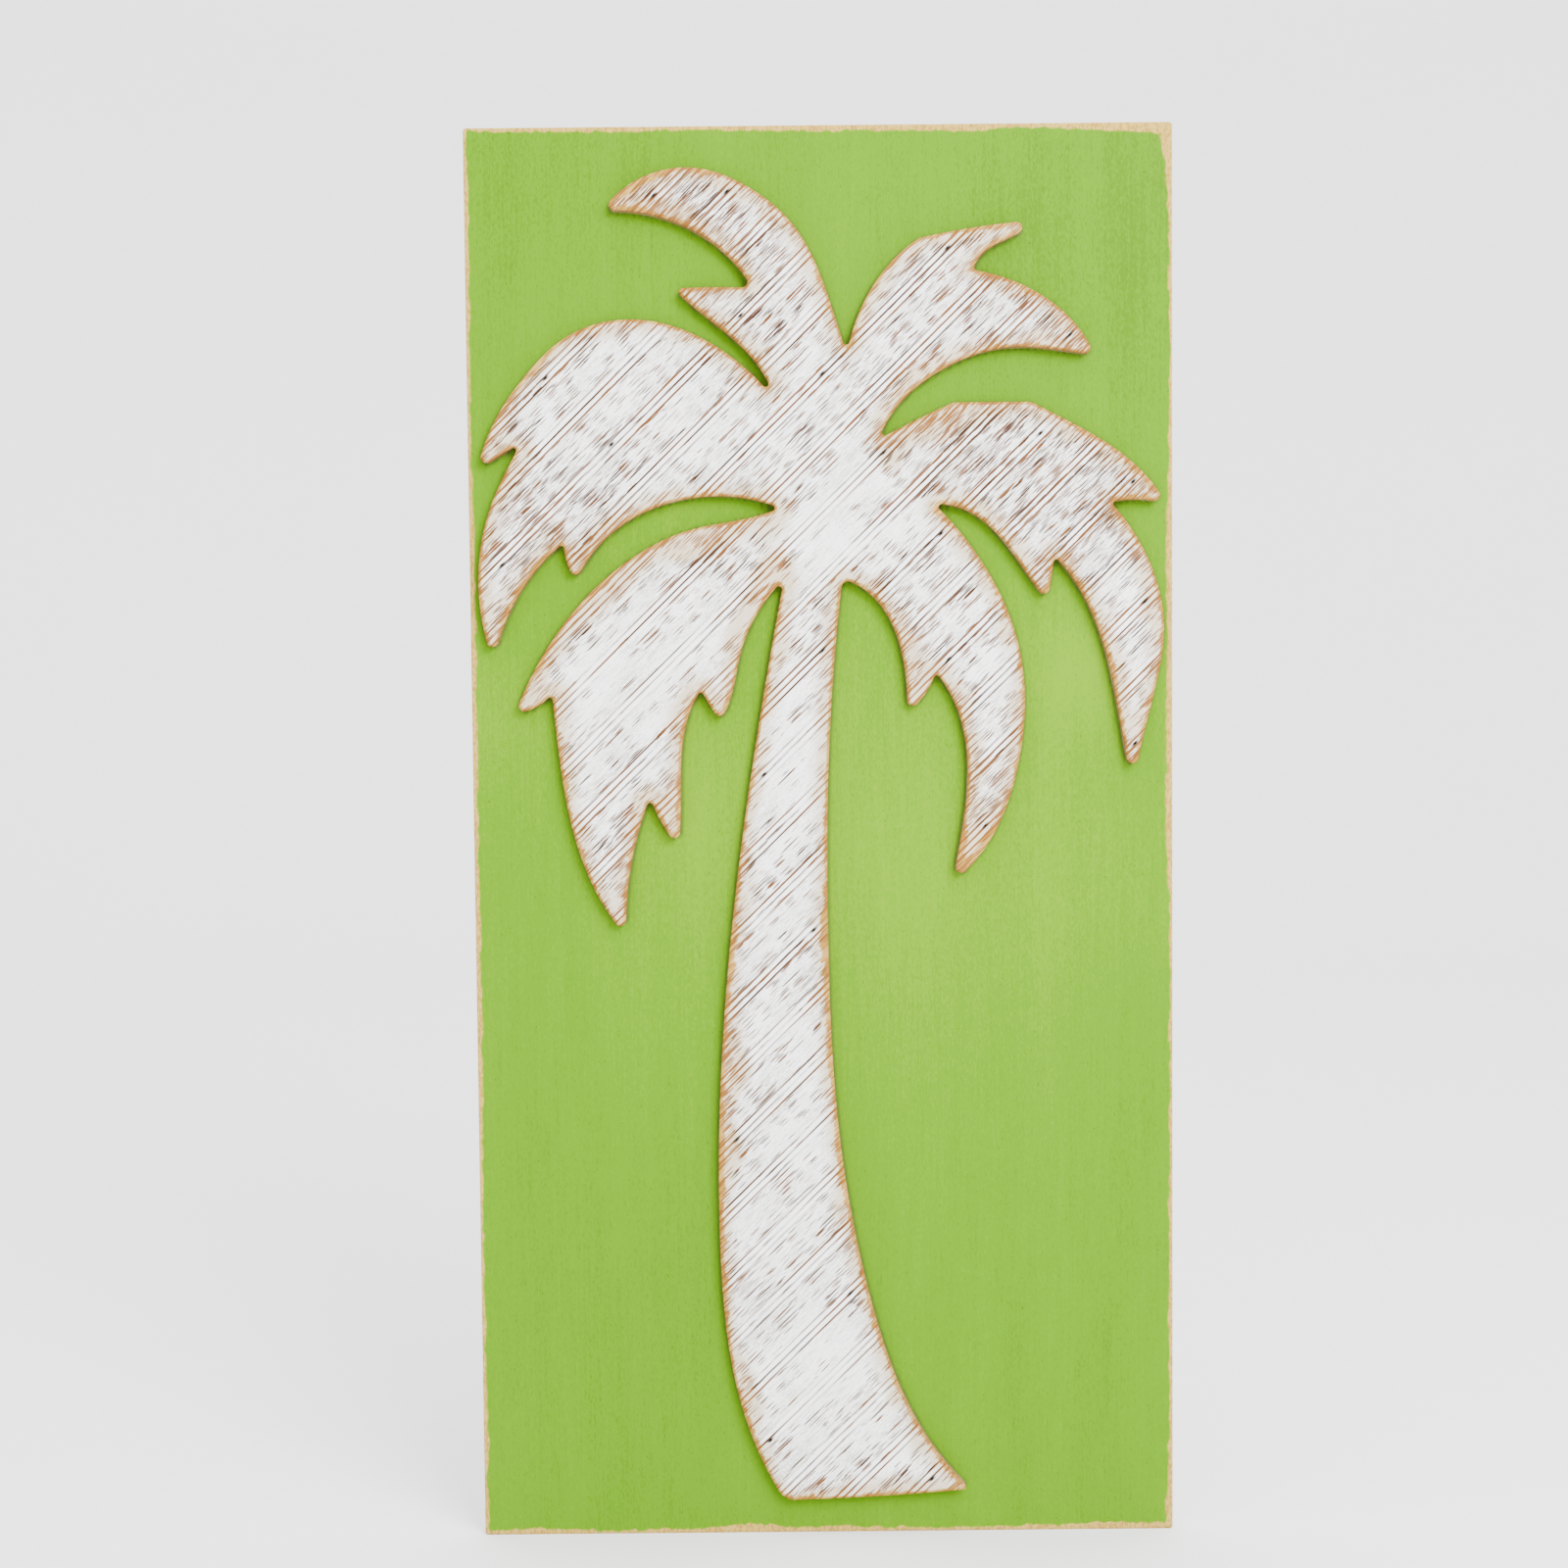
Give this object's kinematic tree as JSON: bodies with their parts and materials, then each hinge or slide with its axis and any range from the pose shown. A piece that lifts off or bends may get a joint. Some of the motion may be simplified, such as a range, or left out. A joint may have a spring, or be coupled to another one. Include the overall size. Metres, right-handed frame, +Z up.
{
  "type": "palm tree wall panel",
  "caption": "Tall rectangular plywood wall panel, painted lime green with sanded edges, with a whitewashed palm tree cutout pinned to its front and a sawtooth hanger behind.",
  "frame": {"origin": "middle of the panel's bottom edge, halfway through the panel's thickness", "axes": "+X to the right seen from the front, -Y out of the painted front, +Z up"},
  "size_m": [0.302, 0.0128, 0.61],
  "materials": {
    "green_paint": "satin lime green paint, sanded through to bare tan veneer along the edges",
    "plywood_core": "raw sawn plywood core",
    "plywood_back": "raw sanded tropical hardwood veneer",
    "whitewashed_veneer": "matt whitewash with open brown pores and sanded edges",
    "pin_steel": "dark oxidised steel",
    "zinc_steel": "bright zinc plated steel",
    "black_rubber": "matt moulded rubber"
  },
  "bodies": {
    "root": {"panel_face_veneer": "green_paint", "panel_core": "plywood_core", "panel_back_veneer": "plywood_back", "palm_face_veneer": "whitewashed_veneer", "palm_core": "plywood_core", "palm_back_veneer": "plywood_back", "pin_nails": "pin_steel", "sawtooth_hanger": "zinc_steel", "hanger_nails": "zinc_steel", "left_bumper": "black_rubber", "right_bumper": "black_rubber"}
  },
  "joints": []
}
